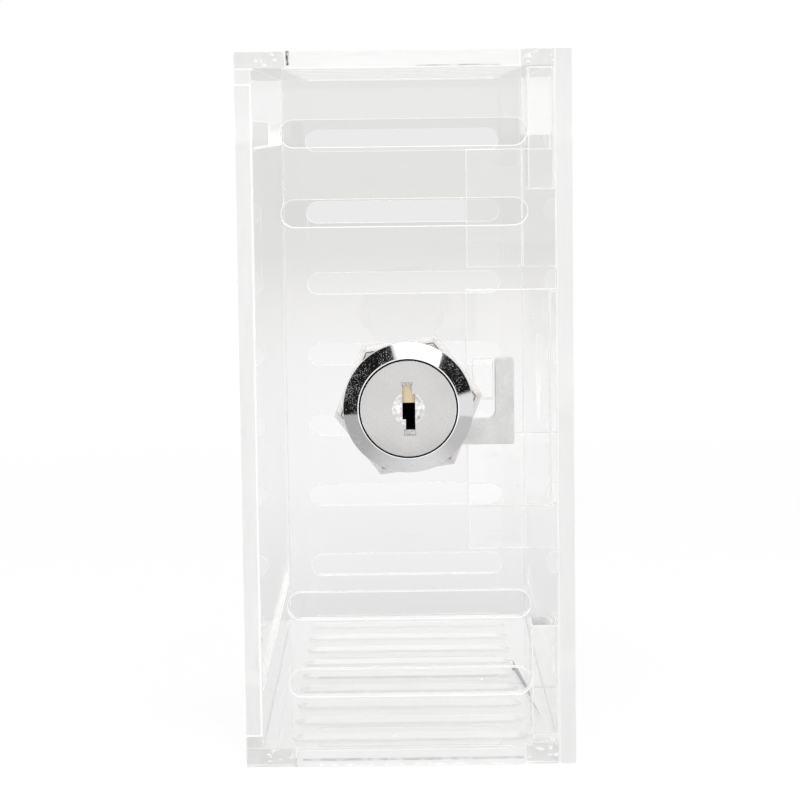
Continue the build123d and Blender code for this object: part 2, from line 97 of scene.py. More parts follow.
# Left, right, low and high of each cut, in millimetres beside and above the lock axis
KEYWAY_STEPS = ((-1.0, 0.57, 2.4, 3.98), (-1.0, 1.15, -1.81, 2.47), (-0.44, 1.15, -3.53, -1.75))
BROACH_MARKS = ((-1.2, 0.75, 3.96, 4.5), (-0.75, 1.25, -4.5, -3.5))
BROACH_FLOOR = 3.02 * MM
WAFER_SLOTS, WAFER_PITCH, WAFER_START = 5, 2.6 * MM, -0.5 * MM
WAFER_ROOM = 2.25 * MM  # half width of the slots in the plug and of the channel in the barrel
NUT_BACK, NUT_FRONT = -6.05 * MM, -2.85 * MM
NUT_BORE = 9.56 * MM
NUT_TURN = radians(7.6)  # how far the nut's first corner stands above the horizontal

# The studio
BACKDROP = 1.0  # brightness of the backdrop as it is seen
SHADOW_SHARE = 0.3  # brightness of the near floor that comes from the lamps, so that it keeps shadows
PAINTED_BACKDROP_SHADE = 0.83  # brightness of the painted shade: a grey wedge of floor and backdrop that widens away behind the box
PAINTED_BACKDROP_SHADE_TIP = (0.519, -0.0295)  # the floor point where the painted shade's two sides would meet
PAINTED_BACKDROP_SHADE_SPREAD = 0.05  # half width of the painted shade for each metre from its tip
PAINTED_BACKDROP_SHADE_START = -2.5  # where the painted shade begins, from its tip along the row's x
FAR_BEHIND_GLASS = (0.75, 0.747, 0.733)  # the far backdrop as it is seen through clear sheet, painted shade greyer than the backdrop to the eye
NEAR_BEHIND_GLASS = (0.79, 0.78, 0.783)  # the floor beside the box as it is seen through clear sheet, a painted shadow darker than the floor a step behind
BRIGHT_BEHIND_GLASS = (0.92, 0.91, 0.915)  # the floor a step behind the box as it is seen through clear sheet, painted light brighter than the floor nearer and farther
WHITE_CARD, BLACK_CARD = 0.9, 0.01  # brightness of the room and of the dark cards in reflections
FRONT_CARD = 1.3  # brightness of the large card before the lock panel, seen only in reflections
DARK_CARDS = ((146.2, 39.7), (31.2, 23.5))  # clock middle and half width of each, about the lock axis
CARD_BAND = ((0.12, 0.2), (0.62, 0.54))  # how far ahead a direction points where the dark cards begin and end
DARK_FLOOR, WHITE_FLOOR = -0.32, 0.205  # where the floor's dark and white cards begin, along the row's y
FRONT_FLOOR = 0.14  # where the front card begins on the floor, along the row's x
# Name, place, size and share of the key lamp's power
LAMPS = (("key_lamp", (0.385, 0.112, 0.72), 0.6, 1.0), ("front_lamp", (0.9, -0.5, 0.25), 0.9, 0.7))
LAMP_TARGET = Vector((0.03, -0.03, 0))
CAMERA_PLACE = (0.51876934, -0.02954595, 0.0479035)
CAMERA_AXES = ((1.64457348e-03, 9.99918235e-01, -1.26814627e-02),  # its right, up and back
               (-1.00457730e-01, 1.27825253e-02, 9.94859212e-01),
               (9.94939968e-01, -3.62168114e-04, 1.00470538e-01))


# ---------------------------------------------------------------- settings
class AcrylicSettings(bpy.types.PropertyGroup):
    edge_break: bpy.props.FloatProperty(
        name="Edge Break", description="Width of the small chamfer on every cut edge",
        default=0.18 * MM, min=0.0, unit="LENGTH")
    tint: bpy.props.FloatVectorProperty(
        name="Sheet Tint", description="Colour that the clear sheet gives to light through it",
        default=(0.998, 0.998, 0.996), size=3, subtype="COLOR", min=0.0, max=1.0)
    # Painted shade: the left panel is made a little darker than the same clear sheet elsewhere.
    painted_shade_tint: bpy.props.FloatVectorProperty(
        name="Left Panel Tint", description="Colour of the left panel, a little greyer than the rest",
        default=(0.965, 0.965, 0.962), size=3, subtype="COLOR", min=0.0, max=1.0)
    edge_tint: bpy.props.FloatVectorProperty(
        name="Cut Edge Tint", description="Colour of the sheet where it is seen through a cut edge",
        default=(0.92, 0.92, 0.915), size=3, subtype="COLOR", min=0.0, max=1.0)
    edge_roughness: bpy.props.FloatProperty(
        name="Cut Edge Roughness", description="Frosting of the cut edges", default=0.3, min=0.0, max=1.0)


class LockSettings(bpy.types.PropertyGroup):
    bezel_radius: bpy.props.FloatProperty(
        name="Bezel Radius", description="Outer radius of the bezel", default=11.0 * MM, unit="LENGTH")
    lip_radius: bpy.props.FloatProperty(
        name="Lip Radius", description="Radius of the bezel's front lip", default=8.5 * MM, unit="LENGTH")
    plug_radius: bpy.props.FloatProperty(
        name="Plug Radius", description="Radius of the plug's head", default=8.1 * MM, unit="LENGTH")
    dish_radius: bpy.props.FloatProperty(
        name="Dish Radius", description="Radius of the dish round the keyway",
        default=2.75 * MM, unit="LENGTH")
    thread_depth: bpy.props.FloatProperty(
        name="Thread Depth", description="Depth of the barrel's thread", default=0.5 * MM, unit="LENGTH")
    nut_flats: bpy.props.FloatProperty(
        name="Nut Flats", description="Width of the nut across its flats", default=22.0 * MM, unit="LENGTH")
    metal_edge: bpy.props.FloatProperty(
        name="Metal Edge", description="Rounding of the metal parts' edges", default=0.12 * MM, unit="LENGTH")
    chrome: bpy.props.FloatVectorProperty(
        name="Chrome", description="Colour of the polished chrome", default=(0.83, 0.83, 0.84),
        size=3, subtype="COLOR", min=0.0, max=1.0)
    plug_face: bpy.props.FloatVectorProperty(
        name="Plug Face", description="Colour of the brushed plug face", default=(0.585, 0.574, 0.565),
        size=3, subtype="COLOR", min=0.0, max=1.0)
    zinc: bpy.props.FloatVectorProperty(
        name="Zinc", description="Colour of the zinc plated cam and washers", default=(0.91, 0.91, 0.9),
        size=3, subtype="COLOR", min=0.0, max=1.0)
    nickel: bpy.props.FloatVectorProperty(
        name="Nickel", description="Colour of the nickel plated nut", default=(0.93, 0.915, 0.905),
        size=3, subtype="COLOR", min=0.0, max=1.0)
    brass: bpy.props.FloatVectorProperty(
        name="Brass", description="Colour of the wafers", default=(0.66, 0.55, 0.38),
        size=3, subtype="COLOR", min=0.0, max=1.0)


class StageSettings(bpy.types.PropertyGroup):
    floor_colour: bpy.props.FloatVectorProperty(
        name="Floor", description="Colour of the studio floor", default=(0.82, 0.82, 0.82),
        size=3, subtype="COLOR", min=0.0, max=1.0)
    world_light: bpy.props.FloatProperty(
        name="Room Light", description="Soft light from all round", default=0.62, min=0.0)
    key_power: bpy.props.FloatProperty(
        name="Key Power", description="Power of the large lamp above, in watts", default=2.6, min=0.0)


# ---------------------------------------------------------------- mesh helpers
def deselect():
    """Leaves edit mode and selects nothing."""
    if bpy.context.object is not None and bpy.context.object.mode != "OBJECT":
        bpy.ops.object.mode_set(mode="OBJECT")
    bpy.ops.object.select_all(action="DESELECT")


def activate(piece):
    """Makes one piece the selected and active object."""
    deselect()
    piece.select_set(True)
    bpy.context.view_layer.objects.active = piece


def named(name):
    """The object that was just made, under a name of its own."""
    piece = bpy.context.object
    piece.name = piece.data.name = name
    return piece


def edit_all():
    """Opens the active piece with all of its mesh selected."""
    bpy.ops.object.mode_set(mode="EDIT")
    bpy.ops.mesh.select_all(action="SELECT")


def close_shape():
    """Merges what touches in the open mesh, turns its faces outwards and leaves edit mode."""
    bpy.ops.mesh.select_all(action="SELECT")
    bpy.ops.mesh.remove_doubles(threshold=1e-7)
    bpy.ops.mesh.normals_make_consistent(inside=False)
    bpy.ops.object.mode_set(mode="OBJECT")


def apply_modifier(piece, kind, **values):
    """Adds a modifier with these values and applies it."""
    activate(piece)
    modifier = piece.modifiers.new(kind.title(), kind)
    for name, value in values.items():
        setattr(modifier, name, value)
    bpy.ops.object.modifier_apply(modifier=modifier.name)


def seat(piece):
    """Puts a piece's place into its mesh, with the object at the origin."""
    activate(piece)
    bpy.ops.object.transform_apply(location=True, rotation=True, scale=True)


def cut(piece, cutter, operation="DIFFERENCE"):
    """Cuts a piece with another, or joins the other to it, which is then deleted."""
    apply_modifier(piece, "BOOLEAN", operation=operation, object=cutter, solver="EXACT")
    bpy.data.objects.remove(cutter)


def smooth(piece, angle):
    """Shades a piece smooth where its faces meet at less than an angle in degrees."""
    activate(piece)
    bpy.ops.object.shade_smooth_by_angle(angle=radians(angle))


def soften(piece, width, angle=50, finish=-1):
    """Chamfers a piece's edges, in a finish of their own if given, and shades its curved faces smooth."""
    apply_modifier(piece, "BEVEL", width=width, segments=1, limit_method="ANGLE",
                   angle_limit=radians(angle), use_clamp_overlap=True, material=finish)
    smooth(piece, 30)


def copy_of(node, name):
    """A merged copy of a CAD node, ready to be shaped."""
    activate(frame["nodes"][node])
    bpy.ops.object.duplicate()
    piece = named(name)
    piece.parent = None
    for key in list(piece.keys()):
        del piece[key]
    piece.data.materials.clear()
    edit_all()
    bpy.ops.mesh.remove_doubles(threshold=1e-6)
    bpy.ops.mesh.dissolve_limited(angle_limit=radians(0.5))
    bpy.ops.object.mode_set(mode="OBJECT")
    return piece


def lay_along_and_across(piece, thin):
    """Lays a sheet's coordinates for saw streaks: along its cut edges, and across its thickness."""
    layer = piece.data.uv_layers.new(name="along_and_across")
    for loop in piece.data.loops:
        at = piece.data.vertices[loop.vertex_index].co
        layer.data[loop.index].uv = (sum(at) - at[thin], at[thin])


def cube(name, low, high):
    """A box between two corners."""
    deselect()
    low, high = Vector(low), Vector(high)
    bpy.ops.mesh.primitive_cube_add(size=1.0, location=(low + high) / 2)
    piece = named(name)
    piece.scale = high - low
    seat(piece)
    return piece


def turned(name, stations, segments=96, closed=False):
    """Rings about the lock axis, drawn out from one (radius, distance out) station to the next."""
    deselect()
    radius, out = stations[0]
    bpy.ops.mesh.primitive_circle_add(
        vertices=segments, radius=radius, fill_type="NOTHING" if closed else "NGON", location=(0, 0, out))
    piece = named(name)
    bpy.ops.object.transform_apply(location=True, rotation=True, scale=True)
    edit_all()
    extrude = bpy.ops.mesh.extrude_edges_move if closed else bpy.ops.mesh.extrude_region_move
    for next_radius, next_out in stations[1:] + (stations[:1] if closed else []):
        extrude(TRANSFORM_OT_translate={"value": (0, 0, next_out - out)})
        grow = next_radius / radius
        bpy.ops.transform.resize(value=(grow, grow, 1), center_override=(0, 0, next_out))
        radius, out = next_radius, next_out
    close_shape()
    piece.matrix_world = Matrix.Translation(AXIS) @ Euler((0, radians(90), 0)).to_matrix().to_4x4()
    seat(piece)
    return piece


def blobs(name, spots):
    """Small flattened drops in one mesh, each at a place and with its half sizes in millimetres."""
    deselect()
    bpy.ops.mesh.primitive_ico_sphere_add(subdivisions=1, radius=MM, location=(0, 0, 0))
    drop = bpy.context.object
    drops = []
    for at, half in spots:
        activate(drop)
        bpy.ops.object.duplicate()
        copy = bpy.context.object
        copy.scale, copy.location = half, at
        drops.append(copy)
    bpy.data.objects.remove(drop)
    activate(drops[0])
    for copy in drops:
        copy.select_set(True)
    bpy.ops.object.transform_apply(location=True, rotation=True, scale=True)
    bpy.ops.object.join()
    bpy.ops.object.shade_smooth()
    return named(name)


def finish_piece(piece, node, *finishes):
    """Gives a piece its finishes and its body, and hides the CAD node that it stands for."""
    for finish in finishes:
        piece.data.materials.append(bpy.data.materials[finish])
    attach(piece, BODY_OF[node])
    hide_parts(node)


def finish_flaw(piece, finish):
    """Gives a flaw of the cover's joints its finish and lets it ride with the cover."""
    piece.data.materials.append(bpy.data.materials[finish])
    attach(piece, BODY_OF["lock_panel"])


# ---------------------------------------------------------------- shapes of the lock
def at_lock(toward_wall, up, out):
    """A point given from the lock axis at the lock panel's outer face."""
    return AXIS + Vector((out, toward_wall, up))


def bezel_outline(lip, rim):
    """The way from the barrel's bore over the recess, the lip and the slope to the bezel's back."""
    recess = [(BORE_RADIUS, BARREL_END), (BORE_RADIUS, RECESS_FLOOR), (RECESS_RADIUS, RECESS_FLOOR),
              (RECESS_RADIUS, 2.9 * MM)]
    round_lip = [(8.36 * MM, 2.98 * MM), (8.44 * MM, 3.0 * MM), (lip, 2.99 * MM),
                 (lip + 0.08 * MM, 2.93 * MM)]
    slope = [(lip + (rim - lip) * part, (3.0 - 1.8 * part) * MM) for part in (0.06, 0.94)]
    round_rim = [(rim - 0.03 * MM, 1.22 * MM), (rim, 1.17 * MM), (rim, 0.15 * MM),
                 (rim - 0.1 * MM, PANEL_GAP)]
    return recess + round_lip + slope + round_rim


def barrel_outline(depth):
    """The way from the bezel's back over the thread to the barrel's end."""
    outline = [(BARREL_RADIUS, PANEL_GAP), (BARREL_RADIUS, THREAD_START)]
    for turn in range(THREAD_TURNS):
        root = (-3.5 - turn) * MM
        outline += [(BARREL_RADIUS - depth, root), (BARREL_RADIUS, root - 0.45 * MM)]
        outline += [(BARREL_RADIUS, root - 0.55 * MM)] if turn < THREAD_TURNS - 1 else []
    return outline + [(BARREL_RADIUS, BARREL_END + 0.2 * MM), (BARREL_RADIUS - 0.2 * MM, BARREL_END)]


def plug_outline(head, dish):
    """The way from the plug's back over its head and face into the round dish."""
    ball = (dish ** 2 + DISH_DEPTH ** 2) / (2 * DISH_DEPTH)
    outline = [(5.95 * MM, BARREL_END), (5.95 * MM, 1.2 * MM), (head, 1.2 * MM),
               (head, PLUG_FRONT - 0.12 * MM), (head - 0.04 * MM, PLUG_FRONT - 0.03 * MM),
               (head - 0.12 * MM, PLUG_FRONT), (dish + 0.1 * MM, PLUG_FRONT)]
    for part in DISH_STATIONS:
        sagged = ball - (ball ** 2 - (dish * part) ** 2) ** 0.5
        outline.append((dish * part, PLUG_FRONT - DISH_DEPTH + sagged))
    return outline


def file_flats(piece, back, front):
    """Files a piece flat on both sides of the lock axis."""
    for side in (-1, 1):
        near, far = sorted((side * FLAT_REACH, side * CUTTER_REACH))
        cut(piece, cube("flat", at_lock(near, -CUTTER_REACH, back), at_lock(far, CUTTER_REACH, front)))


def stop_lug():
    """The barrel's lug: a small rectangle at one end of the tail, spun round to the other end."""
    deselect()
    start, sweep = radians(58.5), radians(243)
    bpy.ops.mesh.primitive_plane_add(size=1.0, location=(0, 0, 0))
    lug = named("stop_lug")
    lug.scale = (1.45 * MM, 2.4 * MM, 1)
    seat(lug)
    lug.location = (-17.675 * MM, 8.1 * MM, 0)
    seat(lug)
    lug.rotation_euler = (start, 0, 0)
    seat(lug)
    edit_all()
    bpy.ops.mesh.spin(steps=48, angle=sweep, center=(0, 0, 0), axis=(1, 0, 0))
    close_shape()
    lug.location = AXIS
    seat(lug)
    file_flats(lug, -20 * MM, -16 * MM)
    return lug


def round_corners(nut):
    """Rounds the nut's six edges that run along the lock axis."""
    bpy.ops.object.mode_set(mode="EDIT")
    bpy.ops.mesh.select_all(action="DESELECT")
    bpy.ops.object.mode_set(mode="OBJECT")
    for edge in nut.data.edges:
        ends = [nut.data.vertices[i].co.x for i in edge.vertices]
        edge.select = abs(ends[0] - ends[1]) > MM
    bpy.ops.object.mode_set(mode="EDIT")
    bpy.ops.mesh.select_mode(type="EDGE")
    bpy.ops.mesh.bevel(offset=0.5 * MM, segments=5)
    bpy.ops.mesh.select_mode(type="FACE")
    bpy.ops.object.mode_set(mode="OBJECT")


def ring_ends(nut):
    """Chamfers both ends of the nut, with a narrow ring of worn plating inside each chamfer."""
    for polygon in nut.data.polygons:
        polygon.select = abs(polygon.normal.x) > 0.9
    bpy.ops.object.mode_set(mode="EDIT")
    bpy.ops.mesh.inset(thickness=0.45 * MM, depth=0.08 * MM, use_individual=True)
    bpy.ops.mesh.inset(thickness=0.22 * MM, depth=0.0, use_individual=True)
    bpy.ops.object.mode_set(mode="OBJECT")
    middle = max(len(polygon.vertices) for polygon in nut.data.polygons)
    for polygon in nut.data.polygons:
        flat = abs(polygon.normal.x) > 0.995
        polygon.material_index = int(flat and len(polygon.vertices) < middle)


def broach(plug, name, steps, floor):
    """Cuts steps into the plug from its front down to a floor."""
    for left, right, low, high in steps:
        cut(plug, cube(name, at_lock(left * MM, low * MM, floor), at_lock(right * MM, high * MM, 5.0 * MM)))


# ---------------------------------------------------------------- material helpers
def node_tree(material):
    """An empty node tree for a material, with its output."""
    material.use_nodes = True
    tree = material.node_tree
    tree.nodes.clear()
    return tree, tree.nodes.new("ShaderNodeOutputMaterial")


def add(tree, kind, inputs=(), **settings):
    """One node with its settings, and input values or links by name or number."""
    node = tree.nodes.new(kind)
    for name, value in settings.items():
        setattr(node, name, value)
    for name, value in dict(inputs).items():
        if isinstance(value, bpy.types.NodeSocket):
            tree.links.new(value, node.inputs[name])
        else:
            node.inputs[name].default_value = value
    return node


def calculated(tree, operation, *values):
    """The outcome of one sum on numbers or sockets."""
    return add(tree, "ShaderNodeMath", dict(enumerate(values)), operation=operation).outputs[0]


def calculated_vector(tree, operation, *vectors):
    """The outcome of one sum on vectors or sockets."""
    return add(tree, "ShaderNodeVectorMath", dict(enumerate(vectors)), operation=operation).outputs["Vector"]


def ranged(tree, value, start, end):
    """0 up to the start value and 1 from the end value on."""
    return add(tree, "ShaderNodeMapRange", {"Value": value, "From Min": start, "From Max": end}).outputs[0]


def between(tree, factor, first, second):
    """The first value where the factor is 0 and the second where it is 1."""
    return add(tree, "ShaderNodeMapRange", {"Value": factor, "To Min": first, "To Max": second}).outputs[0]


def blended(tree, factor, first, second):
    """The first colour where the factor is 0 and the second where it is 1."""
    return add(tree, "ShaderNodeMix", {"Factor": factor, 6: first, 7: second}, data_type="RGBA").outputs[2]


def noise(tree, place, scale, detail=2.0, roughness=0.5):
    """An uneven pattern at a place, from 0 to 1."""
    return add(tree, "ShaderNodeTexNoise", {"Vector": place, "Scale": scale, "Detail": detail,
                                            "Roughness": roughness}).outputs["Fac"]


def share(colour, part=1.0):
    """A part of a colour's brightness, as a socket takes it."""
    return (*(c * part for c in colour), 1)


def mixed(tree, factor, first, second):
    """The output of one shader where the factor is 0 and of the other where it is 1."""
    return add(tree, "ShaderNodeMixShader", {0: factor, 1: first, 2: second}).outputs[0]


def effect_group(name, inputs, outputs):
    """A shader node group with named inputs and float outputs, and its input and output nodes."""
    group = bpy.data.node_groups.new(name, "ShaderNodeTree")
    group.interface.new_socket("Vector", in_out="INPUT", socket_type="NodeSocketVector")
    for label, value in inputs.items():
        socket = group.interface.new_socket(label, in_out="INPUT", socket_type="NodeSocketFloat")
        socket.default_value = value
    for label in outputs:
        group.interface.new_socket(label, in_out="OUTPUT", socket_type="NodeSocketFloat")
    return group, group.nodes.new("NodeGroupInput").outputs, group.nodes.new("NodeGroupOutput").inputs


def handling_group():
    """Soft smears and fine specks, as a mask from 0 to 1."""
    group, given, out = effect_group("Handling Marks", {"Scale": 60.0, "Amount": 0.5}, ["Mask"])
    smear = noise(group, given["Vector"], given["Scale"], 4.0, 0.6)
    fine = calculated(group, "MULTIPLY", given["Scale"], 14.0)
    speck = noise(group, given["Vector"], fine)
    both = calculated(group, "MAXIMUM", ranged(group, smear, 0.42, 0.68), ranged(group, speck, 0.62, 0.72))
    group.links.new(calculated(group, "MULTIPLY", both, given["Amount"]), out["Mask"])


def turning_group():
    """Fine rings about the lock axis, with a height for bump and a mask for tone."""
    group, given, out = effect_group("Turning Marks", {"Rings per mm": 9.0}, ["Height", "Mask"])
    flat = calculated_vector(group, "MULTIPLY", given["Vector"], (0, 1, 1))
    distance = add(group, "ShaderNodeVectorMath", {0: flat}, operation="LENGTH").outputs["Value"]
    millimetres = calculated(group, "MULTIPLY", distance, 1000.0)
    rings = calculated(group, "MULTIPLY", millimetres, given["Rings per mm"])
    uneven = add(group, "ShaderNodeTexNoise", {"W": rings, "Scale": 1.0, "Detail": 3.0, "Roughness": 0.7},
                 noise_dimensions="1D").outputs["Fac"]
    group.links.new(uneven, out["Height"])
    group.links.new(ranged(group, uneven, 0.3, 0.7), out["Mask"])


def grain_group():
    """The fine uneven grain of a cast or tumbled surface, as a height and a mask."""
    group, given, out = effect_group("Cast Grain", {"Scale": 5200.0}, ["Height", "Mask"])
    grain = noise(group, given["Vector"], given["Scale"], 3.0, 0.75)
    group.links.new(grain, out["Height"])
    group.links.new(ranged(group, grain, 0.38, 0.66), out["Mask"])


def pit_group():
    """Sparse pits and scuffs in a polished surface, closer together where it is worn, as a mask."""
    group, given, out = effect_group("Pits", {"Scale": 6000.0}, ["Mask"])
    pit = noise(group, given["Vector"], given["Scale"], 1.0)
    worn = noise(group, given["Vector"], 260.0, 3.0)
    crowded = calculated(group, "MULTIPLY_ADD", worn, 0.35, pit)
    group.links.new(ranged(group, crowded, 0.83, 0.865), out["Mask"])


def streak_group():
    """Fine lines that run along a cut edge, from coordinates laid along and across it."""
    group, given, out = effect_group("Saw Streaks", {}, ["Mask"])
    laid = calculated_vector(group, "MULTIPLY", given["Vector"], (120.0, 6500.0, 1.0))
    line = add(group, "ShaderNodeTexNoise", {"Vector": laid, "Scale": 1.0, "Detail": 2.0, "Roughness": 0.6},
               noise_dimensions="2D").outputs["Fac"]
    group.links.new(ranged(group, line, 0.4, 0.68), out["Mask"])


def grouped(tree, group, **inputs):
    """The outputs of a shared effect group that is placed in a material with its own values."""
    node = add(tree, "ShaderNodeGroup", node_tree=bpy.data.node_groups[group])
    for name, value in inputs.items():
        socket = node.inputs[name.replace("_", " ")]
        if isinstance(value, bpy.types.NodeSocket):
            tree.links.new(value, socket)
        else:
            socket.default_value = value
    return node.outputs


def clear_material(name, tint, roughness, marks, bump, clear=1.0, glow=0.0, streaks=0.0):
    """Clear acrylic: a glass shader that lets the lamps' light through, less clear where it is cut, with a painted
    glow where one is given.
    """
    material = bpy.data.materials.new(name)
    tree, output = node_tree(material)
    place = add(tree, "ShaderNodeTexCoord").outputs
    mask = grouped(tree, "Handling Marks", Vector=place["Object"], Scale=marks, Amount=1.0)["Mask"]
    colour = blended(tree, mask, share(tint), share(tint, 0.992))
    if streaks:
        height = grouped(tree, "Saw Streaks", Vector=place["UV"])["Mask"]
        colour = blended(tree, height, colour, share(tint, 1 - streaks))
    else:
        height = noise(tree, place["Object"], 25.0, 1.0)
    dent = add(tree, "ShaderNodeBump", {"Height": height, "Strength": bump, "Distance": 0.5 * MM}).outputs[0]
    shader = add(tree, "ShaderNodeBsdfPrincipled", {
        "Base Color": colour, "Roughness": between(tree, mask, roughness, roughness + 0.02), "Normal": dent,
        "IOR": 1.49, "Transmission Weight": clear, "Emission Color": (1, 1, 1, 1), "Emission Strength": glow})
    through = add(tree, "ShaderNodeBsdfTransparent", {"Color": (0.96, 0.965, 0.963, 1)})
    shadow = add(tree, "ShaderNodeLightPath").outputs["Is Shadow Ray"]
    tree.links.new(mixed(tree, shadow, shader.outputs[0], through.outputs[0]), output.inputs["Surface"])


def metal_material(name, colour, dark, roughness, marks, rings=0.0, bump=0.0, stain=None, grain=0.0,
                   metallic=1.0, pits=0.0):
    """Plated metal with handling marks, a cast grain, and turning rings or pits where it has them."""
    material = bpy.data.materials.new(name)
    tree, output = node_tree(material)
    about_axis = {"Vector": add(tree, "ShaderNodeTexCoord").outputs["Object"], "Location": tuple(-AXIS)}
    place = add(tree, "ShaderNodeMapping", about_axis).outputs[0]
    mask = grouped(tree, "Handling Marks", Vector=place, Scale=marks, Amount=1.0)["Mask"]
    tone = blended(tree, mask, share(colour), share(stain) if stain else share(colour, dark))
    cast = grouped(tree, "Cast Grain", Vector=place)
    tone = blended(tree, cast["Mask"], tone, share(colour, 1 - grain))
    height = cast["Height"]
    if rings:
        turning = grouped(tree, "Turning Marks", Vector=place, Rings_per_mm=rings)
        tone = blended(tree, turning["Mask"], tone, share(colour, 0.93))
        height = calculated(tree, "ADD", height, turning["Height"])
    if pits:
        metallic = between(tree, grouped(tree, "Pits", Vector=place)["Mask"], metallic, metallic - pits)
    dent = add(tree, "ShaderNodeBump", {"Height": height, "Strength": bump, "Distance": 0.05 * MM}).outputs[0]
    shader = add(tree, "ShaderNodeBsdfPrincipled", {
        "Base Color": tone, "Metallic": metallic, "Normal": dent,
        "Roughness": between(tree, mask, roughness, roughness + 0.08)})
    tree.links.new(shader.outputs[0], output.inputs["Surface"])


def matt_material(name, colour, second, scale, glow=0.0):
    """A matt finish in two uneven tones, for the small flaws and the dust, with a painted glow where one is given.
    """
    material = bpy.data.materials.new(name)
    tree, output = node_tree(material)
    place = add(tree, "ShaderNodeTexCoord").outputs["Object"]
    patchy = ranged(tree, noise(tree, place, scale), 0.45, 0.6)
    shader = add(tree, "ShaderNodeBsdfPrincipled", {
        "Base Color": blended(tree, patchy, share(colour), share(second)), "Roughness": 0.7,
        "Emission Color": (1, 1, 1, 1), "Emission Strength": glow})
    tree.links.new(shader.outputs[0], output.inputs["Surface"])


# ---------------------------------------------------------------- floor and room
def emission(tree, colour, strength=1.0):
    """A surface that shines in one colour."""
    return add(tree, "ShaderNodeEmission", {"Color": share(colour), "Strength": strength}).outputs[0]


def diffuse(tree, colour):
    """A plain matt surface."""
    return add(tree, "ShaderNodeBsdfDiffuse", {"Color": colour}).outputs[0]


def background(tree, colour, strength):
    """The light of the room in one colour."""
    return add(tree, "ShaderNodeBackground", {"Color": share(colour), "Strength": strength}).outputs[0]


def card_edge(tree, value, start, end):
    """0 before the edge of a studio card and 1 after it, with a soft step."""
    return add(tree, "ShaderNodeMapRange", {"Value": value, "From Min": start, "From Max": end},
               interpolation_type="SMOOTHSTEP").outputs[0]


def first_bounce(tree, path, depth=1.5):
    """1 for the first mirror reflection, which is what the metal shows, and 0 deeper in the clear sheet."""
    first = calculated(tree, "LESS_THAN", path["Ray Depth"], depth)
    return calculated(tree, "MULTIPLY", path["Is Glossy Ray"], first)


def card_band(tree, ahead):
    """1 in the band of directions that the bezel's slope mirrors, from how far ahead a direction points."""
    return calculated(tree, "MULTIPLY", *(card_edge(tree, ahead, start, end) for start, end in CARD_BAND))


def painted_backdrop_shade_mask(tree, ahead, across, start):
    """1 on the painted shade, a grey wedge behind the box, from how far ahead of its tip and how far across a
    point is.
    """
    spread = calculated(tree, "ABSOLUTE", calculated(tree, "DIVIDE", across, ahead))
    inside = card_edge(tree, spread, PAINTED_BACKDROP_SHADE_SPREAD * 1.05, PAINTED_BACKDROP_SHADE_SPREAD * 0.97)
    return calculated(tree, "MULTIPLY", inside, card_edge(tree, ahead, start, start - 0.2))


def floor_as_seen(tree, place, away):
    """The floor to the eye: shadowed near the box, then plain backdrop with a grey wedge of painted shade behind
    the box.
    """
    glow = emission(tree, (1, 1, 1), BACKDROP - SHADOW_SHARE)
    near = add(tree, "ShaderNodeAddShader", {0: diffuse(tree, (0.35, 0.35, 0.35, 1)), 1: glow}).outputs[0]
    # Painted shade: a grey wedge of floor behind the box, darker than the backdrop round it.
    from_tip = calculated_vector(tree, "SUBTRACT", place, (*PAINTED_BACKDROP_SHADE_TIP, 0))
    from_tip = add(tree, "ShaderNodeSeparateXYZ", {0: from_tip}).outputs
    painted_backdrop_shade = painted_backdrop_shade_mask(tree, from_tip["X"], from_tip["Y"], PAINTED_BACKDROP_SHADE_START)
    far = mixed(tree, painted_backdrop_shade, emission(tree, (1, 1, 1), BACKDROP), emission(tree, (1, 1, 1), PAINTED_BACKDROP_SHADE))
    return mixed(tree, card_edge(tree, away, 0.15, 0.5), near, far)


def floor_behind_glass(tree, away):
    """The floor through clear sheet, in three fixed tones from near to far: painted shadow beside the box, painted
    light a step behind it, painted shade far off.
    """
    near, bright = emission(tree, NEAR_BEHIND_GLASS), emission(tree, BRIGHT_BEHIND_GLASS)
    near = mixed(tree, card_edge(tree, away, 0.05, 0.35), near, bright)
    return mixed(tree, card_edge(tree, away, 0.4, 2.0), near, emission(tree, FAR_BEHIND_GLASS))


def floor_cards(tree, across, ahead, away):
    """The floor as metal mirrors it: grey, with a dark, a white and a front card lying on it."""
    level = calculated(tree, "MULTIPLY_ADD", card_edge(tree, across, -0.1, -0.012), 0.38, 0.51)
    level = calculated(tree, "MULTIPLY_ADD", card_edge(tree, across, -0.008, 0.04), -0.25, level)
    toward = calculated(tree, "DIVIDE", ahead, away)
    beside = card_edge(tree, across, DARK_FLOOR, DARK_FLOOR - 0.01)
    beside = calculated(tree, "MULTIPLY", beside, card_band(tree, toward))
    dark = mixed(tree, beside, diffuse(tree, level), emission(tree, (BLACK_CARD,) * 3))
    white = card_edge(tree, across, WHITE_FLOOR, WHITE_FLOOR + 0.01)
    white = mixed(tree, white, dark, emission(tree, (WHITE_CARD,) * 3))
    front = card_edge(tree, ahead, FRONT_FLOOR, FRONT_FLOOR + 0.06)
    front = calculated(tree, "MULTIPLY", front, card_edge(tree, toward, 0.6, 0.7))
    return mixed(tree, front, white, emission(tree, (1, 1, 1), FRONT_CARD))


